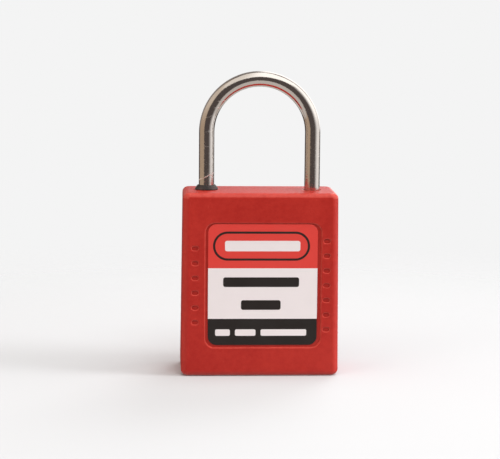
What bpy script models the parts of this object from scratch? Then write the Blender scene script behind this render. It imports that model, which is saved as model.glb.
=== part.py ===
"""Safety padlock: a moulded ABS case with a thin steel shackle, opened by a six-pin key cylinder.

Turning the plug turns a spindle whose two crank pins draw a locking bolt out of each shackle leg
while the shackle rises.  Frame: +Z up, the front with the label faces -Y, and the origin is the
centre of the case's foot.
"""

import math

import bmesh
import bpy
from mathutils import Matrix, Vector

MM = 0.001

# ---- driving dimensions --------------------------------------------------------------------------
CASE_WIDTH_FOOT = 40.75 * MM
CASE_WIDTH_TOP = 39.75 * MM
CASE_DEPTH = 19.0 * MM
CASE_HEIGHT = 47.5 * MM
CASE_WALL = 2.2 * MM
CASE_CORNER = 1.8 * MM
CASE_TOP_EDGE = 1.4 * MM
CASE_FOOT_EDGE = 1.5 * MM

SHACKLE_RADIUS = 2.0 * MM
SHACKLE_CENTRES = 27.5 * MM
SHACKLE_TOP = 78.2 * MM

KEY_TURN = math.pi / 2
SHACKLE_TRAVEL = 9.5 * MM
BOLT_TRAVEL = 3.0 * MM
BOLT_REACH = 0.9 * MM
BOLT_BEVEL = 0.6 * MM

PIN_COUNT = 6
PIN_PITCH = 2.8 * MM
FIRST_PIN = 5.6 * MM
KEY_PIN_LENGTHS = (3.2 * MM, 4.4 * MM, 3.7 * MM, 4.8 * MM, 3.4 * MM, 4.1 * MM)

GAP = 0.3 * MM
SLIDE_GAP = 0.2 * MM
REST_GAP = 0.1 * MM
PAST = 1.0 * MM

# ---- places worked out from them -----------------------------------------------------------------
CASE_BACK = CASE_DEPTH / 2
CASE_FRONT = -CASE_BACK
LEG_X = SHACKLE_CENTRES / 2
LEG_BORE = SHACKLE_RADIUS + GAP
BOW_CENTRE = SHACKLE_TOP - SHACKLE_RADIUS - LEG_X

CAP_TOP = 2.9 * MM
CAP_POCKET_TOP = CAP_TOP + REST_GAP
CAP_WIDTH = CASE_WIDTH_FOOT - 2 * (CASE_WALL + REST_GAP)
CAP_DEPTH = CASE_DEPTH - 2 * (CASE_WALL + REST_GAP)
CAP_CORNER = 0.8 * MM
TAB_REACH = 0.6 * MM
TAB_HALF_WIDTH = 2.5 * MM
TAB_BOTTOM = 1.5 * MM
TAB_TOP = 2.4 * MM

CORE_HALF_WIDTH = 9.8 * MM
CORE_HALF_DEPTH = 7.0 * MM
CORE_CORNER = 0.8 * MM
CORE_TOP = 44.3 * MM

HEEL_END = 14.0 * MM
HEEL_CLIP_BOTTOM = HEEL_END + 1.15 * MM
SPRING_SEAT = CAP_TOP + 1.5 * MM
HEEL_SPRING_BORE = 3.2 * MM
HEEL_SHOULDER = 25.5 * MM
TOE_END = 38.5 * MM
TOE_FLOOR = 35.6 * MM

BOLT_BOTTOM = 41.9 * MM
BOLT_TOP = 43.9 * MM
NOTCH_START = 39.3 * MM
BOLT_BACK = 3.0 * MM
BOLT_FRONT = -6.3 * MM
NOSE_HALF_WIDTH = 1.3 * MM
BOLT_NOSE = LEG_X - SHACKLE_RADIUS + BOLT_REACH
BOLT_SHOULDER = CORE_HALF_WIDTH - 0.5 * MM

AXIS_Y = -2.1 * MM
PLUG_RADIUS = 3.8 * MM
PLUG_BORE = PLUG_RADIUS + SLIDE_GAP
PLUG_FACE = 0.5 * MM
PLUG_HEAD_TOP = 1.7 * MM
PLUG_HEAD_RADIUS = 4.2 * MM
PLUG_END = 26.0 * MM
BARREL_RADIUS = 4.8 * MM
BARREL_FACE = 0.2 * MM
BARREL_END = 22.6 * MM
BIBLE_START = 3.3 * MM
BIBLE_HALF_WIDTH = 2.5 * MM
BIBLE_TOP_Y = 6.4 * MM
COVER_TOP_Y = BIBLE_TOP_Y + 0.4 * MM
CHAMBER_RADIUS = 1.2 * MM
CHAMBER_DEPTH = 5.4 * MM
PIN_RADIUS = 1.0 * MM
DRIVER_LENGTH = 1.9 * MM
DRIVER_START_Y = AXIS_Y + PLUG_BORE + 0.05 * MM
KEY_PIN_TOP_Y = AXIS_Y + PLUG_RADIUS - 0.1 * MM

CLIP_BOTTOM = 23.0 * MM
CLIP_TOP = 23.6 * MM
CLIP_NECK = 3.2 * MM

CARRIER_BOTTOM = 26.3 * MM
CARRIER_TOP = 41.6 * MM
SPINDLE_RADIUS = 1.5 * MM
SPINDLE_FOOT = 24.5 * MM
TONGUE_TOP = 26.2 * MM
TONGUE_HALF_WIDTH = 0.8 * MM
CRANK_RADIUS = 3.1 * MM
CRANK_BOTTOM = 39.9 * MM
CRANK_TOP = 41.4 * MM
CRANK_THROW = BOLT_TRAVEL / (2 * math.sin(KEY_TURN / 2))
CRANK_PIN_RADIUS = 0.7 * MM
CRANK_PIN_TOP = 43.6 * MM
SLOT_NEAR = BOLT_TRAVEL / 2 - CRANK_PIN_RADIUS - GAP
SLOT_FAR = BOLT_TRAVEL / 2 + CRANK_PIN_RADIUS + GAP
SLOT_DEPTH = 3.0 * MM
BOLT_TAIL = SLOT_NEAR - 0.7 * MM

LABEL_WIDTH = 28.1 * MM
LABEL_HEIGHT = 31.4 * MM
LABEL_CORNER = 2.2 * MM
LABEL_THICKNESS = 0.15 * MM
LABEL_CENTRE_X = 0.57 * MM
LABEL_CENTRE_Z = 23.9 * MM
RECESS_DEPTH = 0.45 * MM
RECESS_MARGIN_LEFT = 0.7 * MM
RECESS_MARGIN_RIGHT = 0.95 * MM
RECESS_MARGIN_FOOT = 0.65 * MM
RECESS_MARGIN_HEAD = 0.15 * MM

SEAL_SEAT_RADIUS = 2.9 * MM
SEAL_SEAT_DEPTH = 1.2 * MM
SEAL_STEM_RADIUS = 2.7 * MM
SEAL_SKIRT_RADIUS = 3.0 * MM
SEAL_LIP_RADIUS = 2.45 * MM
SEAL_HEIGHT = 1.15 * MM

SCREW_RADIUS = 1.0 * MM
SCREW_HEAD_RADIUS = 1.9 * MM
SCREW_HEAD_HEIGHT = 1.4 * MM
INSERT_RADIUS = 1.8 * MM
INSERT_BOTTOM = 1.4 * MM
INSERT_TOP = 7.6 * MM
BOSS_RADIUS = 2.8 * MM
BOSS_TOP = 8.0 * MM

FINE = 48
ROUND = 28
SMALL = 14


# ---- materials -----------------------------------------------------------------------------------
def make_material(name, colour, roughness, metallic=0.0):
    material = bpy.data.materials.new(name)
    material.use_nodes = True
    shader = material.node_tree.nodes["Principled BSDF"]
    shader.inputs["Base Color"].default_value = (*colour, 1.0)
    shader.inputs["Roughness"].default_value = roughness
    shader.inputs["Metallic"].default_value = metallic
    material.diffuse_color = (*colour, 1.0)
    return material


# ---- mesh helpers --------------------------------------------------------------------------------
def circle(radius, steps, centre=(0.0, 0.0), start=0.0):
    """Points of a circle in the XY plane, counter-clockwise."""
    angles = [start + 2 * math.pi * i / steps for i in range(steps)]
    return [(centre[0] + radius * math.cos(a), centre[1] + radius * math.sin(a)) for a in angles]


def rounded_rectangle(width, depth, corner, arc_steps=4, centre=(0.0, 0.0)):
    """Points of a rectangle with round corners in the XY plane, counter-clockwise."""
    points = []
    for quarter, (sx, sy) in enumerate(((1, 1), (-1, 1), (-1, -1), (1, -1))):
        cx = centre[0] + sx * (width / 2 - corner)
        cy = centre[1] + sy * (depth / 2 - corner)
        for i in range(arc_steps + 1):
            angle = (quarter + i / arc_steps) * math.pi / 2
            points.append((cx + corner * math.cos(angle), cy + corner * math.sin(angle)))
    return points


def rectangle(x_ends, y_ends):
    """Points of a plain rectangle in the XY plane, counter-clockwise."""
    (left, right), (near, far) = sorted(x_ends), sorted(y_ends)
    return [(left, near), (right, near), (right, far), (left, far)]


def loft(rings):
    """A closed body through rings of equally many points, each ring listed upwards."""
    bm = bmesh.new()
    rows = [[bm.verts.new(point) for point in ring] for ring in rings]
    count = len(rings[0])
    for lower, upper in zip(rows, rows[1:]):
        for i in range(count):
            j = (i + 1) % count
            bm.faces.new((lower[i], lower[j], upper[j], upper[i]))
    bm.faces.new(list(reversed(rows[0])))
    bm.faces.new(rows[-1])
    bmesh.ops.recalc_face_normals(bm, faces=bm.faces)
    return bm


def prism(outline, bottom, top):
    """An outline in the XY plane extruded from bottom to top."""
    return loft([[(x, y, z) for x, y in outline] for z in (bottom, top)])


def turned(profile, steps):
    """A body turned about Z from a closed or axis-to-axis profile of (radius, height) points."""
    bm = bmesh.new()
    verts = [bm.verts.new((radius, 0.0, height)) for radius, height in profile]
    edges = [bm.edges.new(pair) for pair in zip(verts, verts[1:])]
    on_axis = profile[0][0] == 0.0 and profile[-1][0] == 0.0
    if not on_axis:
        edges.append(bm.edges.new((verts[-1], verts[0])))
    full_turn = 2 * math.pi
    bmesh.ops.spin(
        bm, geom=verts + edges, cent=(0, 0, 0), axis=(0, 0, 1), angle=full_turn, steps=steps, use_merge=True
    )
    bmesh.ops.remove_doubles(bm, verts=bm.verts, dist=1e-7)
    bmesh.ops.recalc_face_normals(bm, faces=bm.faces)
    return bm


def swept(stations, steps):
    """A round bar in the XZ plane. Each station is (x, z, heading angle from +X, radius)."""
    rings = []
    for x, z, heading, radius in stations:
        across = Vector((-math.sin(heading), 0.0, math.cos(heading)))
        ring = []
        for i in range(steps):
            angle = 2 * math.pi * i / steps
            side = across * math.cos(angle) + Vector((0.0, 1.0, 0.0)) * math.sin(angle)
            ring.append(Vector((x, 0.0, z)) + radius * side)
        rings.append(ring)
    return loft(rings)


def add_object(name, bm, material=None, location=(0.0, 0.0, 0.0), rotation=(0.0, 0.0, 0.0), parent=None):
    """Turns the bmesh into an object, smooth shaded with its edges kept sharp."""
    mesh = bpy.data.meshes.new(name)
    bm.to_mesh(mesh)
    bm.free()
    mesh.shade_smooth()
    mesh.set_sharp_from_angle(angle=math.radians(35))
    made = bpy.data.objects.new(name, mesh)
    bpy.context.scene.collection.objects.link(made)
    made.location = location
    made.rotation_euler = rotation
    if material:
        mesh.materials.append(material)
    if parent:
        place_under(made, parent)
    return made


def place_under(child, parent):
    """Parents child to an empty without moving it in the world."""
    child.parent = parent
    child.matrix_parent_inverse = Matrix.Translation(-parent.location)


def add_empty(name, location):
    empty = bpy.data.objects.new(name, None)
    empty.location = location
    empty.empty_display_size = 5 * MM
    bpy.context.scene.collection.objects.link(empty)
    return empty


def combine(target, tool, operation):
    """A Boolean modifier on target. The tool is a helper that doesn't render."""
    tool.hide_render = True
    tool.display_type = "WIRE"
    modifier = target.modifiers.new(tool.name, "BOOLEAN")
    modifier.operation = operation
    modifier.object = tool


def cut(target, name, bm, location=(0.0, 0.0, 0.0), rotation=(0.0, 0.0, 0.0)):
    combine(target, add_object(name, bm, None, location, rotation), "DIFFERENCE")


def join(target, name, bm, location=(0.0, 0.0, 0.0), rotation=(0.0, 0.0, 0.0)):
    combine(target, add_object(name, bm, None, location, rotation), "UNION")


POINT_BACK = (-math.pi / 2, 0.0, 0.0)  # turns +Z to +Y
POINT_FRONT = (math.pi / 2, 0.0, 0.0)  # turns +Z to -Y
ACROSS = (0.0, math.pi / 2, 0.0)  # turns +Z to +X


# ---- case ----------------------------------------------------------------------------------------
def case_ring(height, inset):
    share = max(height - CASE_FOOT_EDGE, 0.0) / (CASE_HEIGHT - CASE_FOOT_EDGE)
    width = CASE_WIDTH_FOOT + (CASE_WIDTH_TOP - CASE_WIDTH_FOOT) * share
    outline = rounded_rectangle(width - 2 * inset, CASE_DEPTH - 2 * inset, CASE_CORNER - inset * 0.6)
    return [(x, y, height) for x, y in outline]


def edge_rings(edge, at_foot, steps=3):
    """Case rings along a quarter-round edge at the foot or at the top, listed upwards."""
    rings = []
    for i in range(steps + 1):
        angle = i / steps * math.pi / 2
        from_end = edge * (1 - math.sin(angle))
        height = from_end if at_foot else CASE_HEIGHT - from_end
        rings.append(case_ring(height, edge * (1 - math.cos(angle))))
    return rings[::-1] if at_foot else rings


def core_outline(inset=0.0):
    """The outline of the case's core, or of a block that stands in it with a gap."""
    return rounded_rectangle(2 * (CORE_HALF_WIDTH - inset), 2 * (CORE_HALF_DEPTH - inset), CORE_CORNER)


def recess_outline():
    """The label recess on the front, as (x, z) points with its own margins round the label."""
    width = LABEL_WIDTH + RECESS_MARGIN_LEFT + RECESS_MARGIN_RIGHT
    height = LABEL_HEIGHT + RECESS_MARGIN_HEAD + RECESS_MARGIN_FOOT
    x = LABEL_CENTRE_X + (RECESS_MARGIN_RIGHT - RECESS_MARGIN_LEFT) / 2
    z = LABEL_CENTRE_Z + (RECESS_MARGIN_HEAD - RECESS_MARGIN_FOOT) / 2
    return rounded_rectangle(width, height, LABEL_CORNER + RECESS_MARGIN_HEAD, 5, (x, z))


def build_case(plastic):
    case = add_object(
        "body_case",
        loft(edge_rings(CASE_FOOT_EDGE, True) + edge_rings(CASE_TOP_EDGE, False)),
        plastic,
    )
    pocket = rounded_rectangle(CAP_WIDTH + 2 * REST_GAP, CAP_DEPTH + 2 * REST_GAP, CAP_CORNER)
    cut(case, "cut_cap_pocket", prism(pocket, -PAST, CAP_POCKET_TOP))
    cut(case, "cut_core", prism(core_outline(), CAP_TOP - PAST, CORE_TOP))
    heel = [
        (0.0, CAP_TOP - PAST),
        (HEEL_SPRING_BORE, CAP_TOP - PAST),
        (HEEL_SPRING_BORE, HEEL_SHOULDER),
        (LEG_BORE, HEEL_SHOULDER),
        (LEG_BORE, CASE_HEIGHT - SEAL_SEAT_DEPTH),
        (SEAL_SEAT_RADIUS, CASE_HEIGHT - SEAL_SEAT_DEPTH),
        (SEAL_SEAT_RADIUS, CASE_HEIGHT + PAST),
        (0.0, CASE_HEIGHT + PAST),
    ]
    cut(case, "cut_heel_bore", turned(heel, ROUND), (-LEG_X, 0, 0))
    toe = [
        (0.0, CAP_TOP - PAST),
        (BOSS_RADIUS + GAP, CAP_TOP - PAST),
        (BOSS_RADIUS + GAP, BOSS_TOP + GAP),
        (SCREW_RADIUS + GAP, BOSS_TOP + GAP),
        (SCREW_RADIUS + GAP, TOE_FLOOR),
        (LEG_BORE, TOE_FLOOR),
        (LEG_BORE, CASE_HEIGHT + PAST),
        (0.0, CASE_HEIGHT + PAST),
    ]
    cut(case, "cut_toe_bore", turned(toe, ROUND), (LEG_X, 0, 0))
    for side, name in ((1, "toe"), (-1, "heel")):
        far = LEG_X - SHACKLE_RADIUS + BOLT_REACH + GAP
        half = NOSE_HALF_WIDTH + GAP
        window = rectangle((side * (CORE_HALF_WIDTH - PAST), side * far), (-half, half))
        cut(case, f"cut_{name}_window", prism(window, CARRIER_TOP, BOLT_TOP + GAP))
    half = TAB_HALF_WIDTH + GAP
    groove = rectangle((-CAP_WIDTH / 2 - TAB_REACH - GAP, -CAP_WIDTH / 2 + PAST), (-half, half))
    cut(case, "cut_tab_groove", prism(groove, TAB_BOTTOM - GAP, TAB_TOP + GAP))
    recess = prism(recess_outline(), 0.0, RECESS_DEPTH + PAST)
    cut(case, "cut_front_recess", recess, (0, CASE_FRONT + RECESS_DEPTH, 0), POINT_FRONT)
    recess = prism([(-x, -z) for x, z in recess_outline()], 0.0, RECESS_DEPTH + PAST)
    cut(case, "cut_back_recess", recess, (0, CASE_BACK - RECESS_DEPTH, 0), POINT_BACK)
    return case


def build_cap(plastic):
    """The end cover, with a boss for its screw, a seat for the shackle spring and a hooked tab."""
    outline = rounded_rectangle(CAP_WIDTH, CAP_DEPTH, CAP_CORNER)
    small = rounded_rectangle(CAP_WIDTH - 0.5 * MM, CAP_DEPTH - 0.5 * MM, CAP_CORNER - 0.1 * MM)
    rings = [
        [(x, y, 0.0) for x, y in small],
        [(x, y, 0.25 * MM) for x, y in outline],
        [(x, y, CAP_TOP) for x, y in outline],
    ]
    cap = add_object("bottom_cap", loft(rings), plastic)
    join(cap, "add_screw_boss", prism(circle(BOSS_RADIUS, ROUND, (LEG_X, 0)), PAST, BOSS_TOP))
    seat = circle(HEEL_SPRING_BORE - GAP, ROUND, (-LEG_X, 0))
    join(cap, "add_spring_seat", prism(seat, PAST, SPRING_SEAT))
    tab = rectangle((-CAP_WIDTH / 2 - TAB_REACH, -CAP_WIDTH / 2 + PAST), (-TAB_HALF_WIDTH, TAB_HALF_WIDTH))
    join(cap, "add_hook_tab", prism(tab, TAB_BOTTOM, TAB_TOP))
    hole = circle(BARREL_RADIUS + SLIDE_GAP, FINE, (0, AXIS_Y))
    cut(cap, "cut_barrel_hole", prism(hole, -PAST, CAP_TOP + PAST))
    seat = circle(INSERT_RADIUS + REST_GAP, ROUND, (LEG_X, 0))
    cut(cap, "cut_insert_seat", prism(seat, INSERT_BOTTOM - REST_GAP, BOSS_TOP + PAST))
    return cap


def build_cap_fixings(brass, steel):
    """The brass thread insert in the cap, and the long screw reached only through the empty toe hole."""
    body = prism(circle(INSERT_RADIUS, ROUND, (LEG_X, 0)), INSERT_BOTTOM, INSERT_TOP)
    insert = add_object("cap_insert", body, brass)
    bore = circle(SCREW_RADIUS + SLIDE_GAP, SMALL, (LEG_X, 0))
    cut(insert, "cut_insert_thread", prism(bore, INSERT_BOTTOM - PAST, INSERT_TOP + PAST))
    head = TOE_FLOOR + REST_GAP
    profile = [
        (0.0, 2.2 * MM),
        (SCREW_RADIUS * 0.7, 2.2 * MM),
        (SCREW_RADIUS, 2.6 * MM),
        (SCREW_RADIUS, head),
        (SCREW_HEAD_RADIUS, head),
        (SCREW_HEAD_RADIUS, head + SCREW_HEAD_HEIGHT * 0.7),
        (SCREW_HEAD_RADIUS * 0.8, head + SCREW_HEAD_HEIGHT),
        (0.0, head + SCREW_HEAD_HEIGHT),
    ]
    screw = add_object("cap_screw", turned(profile, SMALL + 2), steel, (LEG_X, 0, 0))
    slot = rectangle((LEG_X - 2.5 * MM, LEG_X + 2.5 * MM), (-0.3 * MM, 0.3 * MM))
    tool = prism(slot, head + SCREW_HEAD_HEIGHT * 0.45, head + SCREW_HEAD_HEIGHT + PAST)
    cut(screw, "cut_driver_slot", tool)


def build_label(vinyl):
    centre = (LABEL_CENTRE_X, LABEL_CENTRE_Z)
    outline = rounded_rectangle(LABEL_WIDTH, LABEL_HEIGHT, LABEL_CORNER, 5, centre)
    back_face = CASE_FRONT + RECESS_DEPTH - REST_GAP
    add_object("label", prism(outline, 0.0, LABEL_THICKNESS), vinyl, (0, back_face, 0), POINT_FRONT)


def build_seal(rubber):
    """The rubber collar round the heel leg, seated in the case's counterbore."""
    inner = SHACKLE_RADIUS + SLIDE_GAP
    skirt = CASE_HEIGHT + REST_GAP
    profile = [
        (inner, CASE_HEIGHT - SEAL_SEAT_DEPTH + REST_GAP),
        (SEAL_STEM_RADIUS, CASE_HEIGHT - SEAL_SEAT_DEPTH + REST_GAP),
        (SEAL_STEM_RADIUS, skirt),
        (SEAL_SKIRT_RADIUS, skirt),
        (SEAL_SKIRT_RADIUS, skirt + 0.2 * MM),
        (SEAL_LIP_RADIUS, skirt + SEAL_HEIGHT),
        (inner, skirt + SEAL_HEIGHT),
    ]
    add_object("shackle_seal", turned(profile, FINE), rubber, (-LEG_X, 0, 0))


# ---- shackle -------------------------------------------------------------------------------------
def shackle_stations(bow_steps=28):
    """From the heel leg's lower end, up over the bow and down to the toe."""
    up, down = math.pi / 2, -math.pi / 2
    neck, tip = SHACKLE_RADIUS * 0.75, SHACKLE_RADIUS * 0.9
    clip = HEEL_END + 1.0 * MM
    groove = 0.9 * MM
    stations = [(-LEG_X, z, up, r) for z, r in (
        (HEEL_END, tip * 0.8),
        (HEEL_END + 0.3 * MM, tip),
        (clip, tip),
        (clip + 0.01 * MM, neck),
        (clip + groove, neck),
        (clip + groove + 0.01 * MM, SHACKLE_RADIUS),
    )]
    for i in range(bow_steps + 1):
        angle = math.pi - i / bow_steps * math.pi
        x, z = LEG_X * math.cos(angle), BOW_CENTRE + LEG_X * math.sin(angle)
        stations.append((x, z, angle - math.pi / 2, SHACKLE_RADIUS))
    stations.append((LEG_X, TOE_END + 0.8 * MM, down, SHACKLE_RADIUS))
    stations.append((LEG_X, TOE_END, down, SHACKLE_RADIUS * 0.65))
    return stations


def notch_outline(side):
    """The scooped notch in a leg, as (x, z). Its long lower ramp clears the bolt as the shackle rises."""
    face = LEG_X - SHACKLE_RADIUS
    deep = face + BOLT_REACH + GAP
    points = [
        (face - PAST, BOLT_TOP + 0.6 * MM),
        (face - PAST, NOTCH_START),
        (face, NOTCH_START),
        (deep, BOLT_BOTTOM - GAP),
        (deep, BOLT_TOP + GAP),
        (face, BOLT_TOP + 0.6 * MM),
    ]
    return [(side * x, z) for x, z in points]


def build_shackle(steel, spring_steel, mover):
    shackle = add_object("shackle", swept(shackle_stations(), ROUND), steel, parent=mover)
    for side, name in ((1, "toe"), (-1, "heel")):
        notch = prism(notch_outline(side), -SHACKLE_RADIUS - PAST, SHACKLE_RADIUS + PAST)
        cut(shackle, f"cut_{name}_notch", notch, rotation=POINT_FRONT)
    clip = open_ring(1.75 * MM, 2.8 * MM, HEEL_CLIP_BOTTOM, HEEL_CLIP_BOTTOM + 0.6 * MM)
    add_object("heel_clip", clip, spring_steel, (-LEG_X, 0, 0), parent=mover)


def open_ring(inner, outer, bottom, top, steps=18, opening=math.radians(70)):
    """A flat C-shaped retaining clip, open towards -X."""
    start, sweep = -math.pi + opening / 2, 2 * math.pi - opening
    angles = [start + sweep * i / steps for i in range(steps + 1)]
    outline = [(outer * math.cos(a), outer * math.sin(a)) for a in angles]
    outline += [(inner * math.cos(a), inner * math.sin(a)) for a in reversed(angles)]
    return prism(outline, bottom, top)


def add_spring(name, coil, length, turns, turn_steps, material, location, rotation=(0.0, 0.0, 0.0)):
    """A compression spring along its own +Z, as a bevelled poly curve. The coil is (coil, wire) radii."""
    coil_radius, wire_radius = coil
    curve = bpy.data.curves.new(name, "CURVE")
    curve.dimensions = "3D"
    curve.bevel_depth = wire_radius
    curve.bevel_resolution = 1
    curve.use_fill_caps = True
    spline = curve.splines.new("POLY")
    count = turns * turn_steps + 1
    spline.points.add(count - 1)
    rise = length - 2 * wire_radius - 2 * END_TURN_RISE * wire_radius
    for i in range(count):
        turn = i / turn_steps
        share = min(max((turn - 1) / (turns - 2), 0.0), 1.0)
        ends = min(turn, 1.0) + max(turn - (turns - 1), 0.0)
        height = wire_radius + END_TURN_RISE * wire_radius * ends + rise * share
        angle = 2 * math.pi * turn
        spline.points[i].co = (coil_radius * math.cos(angle), coil_radius * math.sin(angle), height, 1.0)
    spring = bpy.data.objects.new(name, curve)
    spring.location = location
    spring.rotation_euler = rotation
    curve.materials.append(material)
    bpy.context.scene.collection.objects.link(spring)
    return spring


END_TURN_RISE = 2.3  # in wire radii, so that an end turn clears the next one


# ---- cylinder ------------------------------------------------------------------------------------
def keyway_outline():
    """The warded slot in the plug, relative to its axis. It is open at the plug's front side."""
    points = (
        (-0.8, -4.8), (0.6, -4.8), (0.6, -1.9), (1.1, -1.4), (1.1, 0.2), (0.5, 0.8),
        (0.5, 2.0), (-0.6, 2.0), (-0.6, 0.5), (-1.1, 0.0), (-1.1, -1.7), (-0.8, -2.1),
    )
    return [(x * MM, y * MM) for x, y in points]


def pin_height(index):
    return FIRST_PIN + index * PIN_PITCH


def build_housing(zinc):
    barrel = prism(circle(BARREL_RADIUS, FINE), BARREL_FACE, BARREL_END)
    housing = add_object("cylinder_housing", barrel, zinc, (0, AXIS_Y, 0))
    bible = rectangle((-BIBLE_HALF_WIDTH, BIBLE_HALF_WIDTH), (AXIS_Y, BIBLE_TOP_Y))
    join(housing, "add_bible", prism(bible, BIBLE_START, BARREL_END))
    bore = [
        (0.0, -PAST),
        (PLUG_HEAD_RADIUS + SLIDE_GAP, -PAST),
        (PLUG_HEAD_RADIUS + SLIDE_GAP, PLUG_HEAD_TOP + SLIDE_GAP),
        (PLUG_BORE, PLUG_HEAD_TOP + SLIDE_GAP),
        (PLUG_BORE, BARREL_END + PAST),
        (0.0, BARREL_END + PAST),
    ]
    cut(housing, "cut_plug_bore", turned(bore, FINE), (0, AXIS_Y, 0))
    for i in range(PIN_COUNT):
        chamber = prism(circle(CHAMBER_RADIUS, SMALL), 0.0, BIBLE_TOP_Y - AXIS_Y + PAST)
        cut(housing, f"cut_housing_chamber_{i + 1}", chamber, (0, AXIS_Y, pin_height(i)), POINT_BACK)
    half = BIBLE_HALF_WIDTH - SLIDE_GAP
    cover = rectangle((-half, half), (BIBLE_TOP_Y + REST_GAP / 2, COVER_TOP_Y))
    add_object("chamber_cover", prism(cover, BIBLE_START + 0.4 * MM, BARREL_END - 0.4 * MM), zinc)


def build_plug(brass, spring_steel, mover):
    profile = [
        (0.0, PLUG_FACE),
        (PLUG_HEAD_RADIUS - 0.2 * MM, PLUG_FACE),
        (PLUG_HEAD_RADIUS, PLUG_FACE + 0.2 * MM),
        (PLUG_HEAD_RADIUS, PLUG_HEAD_TOP),
        (PLUG_RADIUS, PLUG_HEAD_TOP),
        (PLUG_RADIUS, CLIP_BOTTOM - 0.15 * MM),
        (CLIP_NECK, CLIP_BOTTOM - 0.15 * MM),
        (CLIP_NECK, CLIP_TOP + 0.15 * MM),
        (PLUG_RADIUS, CLIP_TOP + 0.15 * MM),
        (PLUG_RADIUS, PLUG_END),
        (0.0, PLUG_END),
    ]
    plug = add_object("plug", turned(profile, FINE), brass, (0, AXIS_Y, 0), parent=mover)
    cut(plug, "cut_keyway", prism(keyway_outline(), -PAST, 21.5 * MM), (0, AXIS_Y, 0))
    for i in range(PIN_COUNT):
        chamber = prism(circle(CHAMBER_RADIUS, SMALL), PLUG_RADIUS - CHAMBER_DEPTH, PLUG_RADIUS + PAST)
        cut(plug, f"cut_plug_chamber_{i + 1}", chamber, (0, AXIS_Y, pin_height(i)), POINT_BACK)
    half = TONGUE_HALF_WIDTH + SLIDE_GAP
    slot = rectangle((-PLUG_RADIUS - PAST, PLUG_RADIUS + PAST), (-half, half))
    cut(plug, "cut_tongue_slot", prism(slot, SPINDLE_FOOT - GAP, PLUG_END + PAST), (0, AXIS_Y, 0))
    clip = open_ring(CLIP_NECK + REST_GAP, BARREL_RADIUS - REST_GAP, CLIP_BOTTOM, CLIP_TOP)
    add_object("plug_clip", clip, spring_steel, (0, AXIS_Y, 0), parent=mover)


def build_pin_stacks(brass, steel, spring_steel, mover):
    """Key pins in the plug, driver pins and springs in the housing, held at the shear line."""
    for i, length in enumerate(KEY_PIN_LENGTHS):
        height = pin_height(i)
        key_pin = [
            (0.0, 0.0),
            (PIN_RADIUS * 0.35, 0.0),
            (PIN_RADIUS, 0.7 * MM),
            (PIN_RADIUS, length - 0.1 * MM),
            (PIN_RADIUS * 0.8, length),
            (0.0, length),
        ]
        place = (0, KEY_PIN_TOP_Y - length, height)
        add_object(f"key_pin_{i + 1}", turned(key_pin, SMALL), brass, place, POINT_BACK, mover)
        driver = [
            (0.0, 0.0),
            (PIN_RADIUS * 0.85, 0.0),
            (PIN_RADIUS, 0.15 * MM),
            (PIN_RADIUS, DRIVER_LENGTH),
            (0.0, DRIVER_LENGTH),
        ]
        place = (0, DRIVER_START_Y, height)
        add_object(f"driver_pin_{i + 1}", turned(driver, SMALL), steel, place, POINT_BACK)
        start = DRIVER_START_Y + DRIVER_LENGTH + REST_GAP
        length = BIBLE_TOP_Y - REST_GAP - start
        name = f"pin_spring_{i + 1}"
        coil = (0.8 * MM, 0.12 * MM)
        add_spring(name, coil, length, 5, 9, spring_steel, (0, start, height), POINT_BACK)


# ---- locking mechanism ---------------------------------------------------------------------------
def build_sleeve(nylon):
    """The block that holds the cylinder in the case's core."""
    block = core_outline(SLIDE_GAP)
    top = CARRIER_BOTTOM - REST_GAP
    sleeve = add_object("cylinder_sleeve", prism(block, CAP_TOP + REST_GAP, top), nylon)
    # The barrel lies against the case's front wall, so its channel is open on that side.
    radius = BARREL_RADIUS + SLIDE_GAP
    half_turn = [math.pi * i / 12 for i in range(13)]
    channel = [(radius * math.cos(a), AXIS_Y + radius * math.sin(a)) for a in half_turn]
    channel += [(-radius, -CORE_HALF_DEPTH - PAST), (radius, -CORE_HALF_DEPTH - PAST)]
    cut(sleeve, "cut_barrel_channel", prism(channel, 0.0, top + PAST))
    half = BIBLE_HALF_WIDTH + SLIDE_GAP
    bible = rectangle((-half, half), (AXIS_Y, CORE_HALF_DEPTH + PAST))
    cut(sleeve, "cut_bible_channel", prism(bible, 0.0, BARREL_END + GAP))


def build_carrier(nylon):
    """The block above the cylinder. It guides the spindle, and the bolts slide on its top."""
    block = prism(core_outline(SLIDE_GAP), CARRIER_BOTTOM, CARRIER_TOP - REST_GAP)
    carrier = add_object("mechanism_carrier", block, nylon)
    bore = [
        (0.0, CARRIER_BOTTOM - PAST),
        (SPINDLE_RADIUS + GAP, CARRIER_BOTTOM - PAST),
        (SPINDLE_RADIUS + GAP, CRANK_BOTTOM - GAP),
        (CRANK_RADIUS + GAP, CRANK_BOTTOM - GAP),
        (CRANK_RADIUS + GAP, CARRIER_TOP + PAST),
        (0.0, CARRIER_TOP + PAST),
    ]
    cut(carrier, "cut_spindle_bore", turned(bore, ROUND), (0, AXIS_Y, 0))
    rail = rectangle((-8.8 * MM, 8.8 * MM), (BOLT_BACK + GAP, 6.5 * MM))
    join(carrier, "add_bolt_rail", prism(rail, CARRIER_TOP - PAST, CORE_TOP - GAP))


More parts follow.
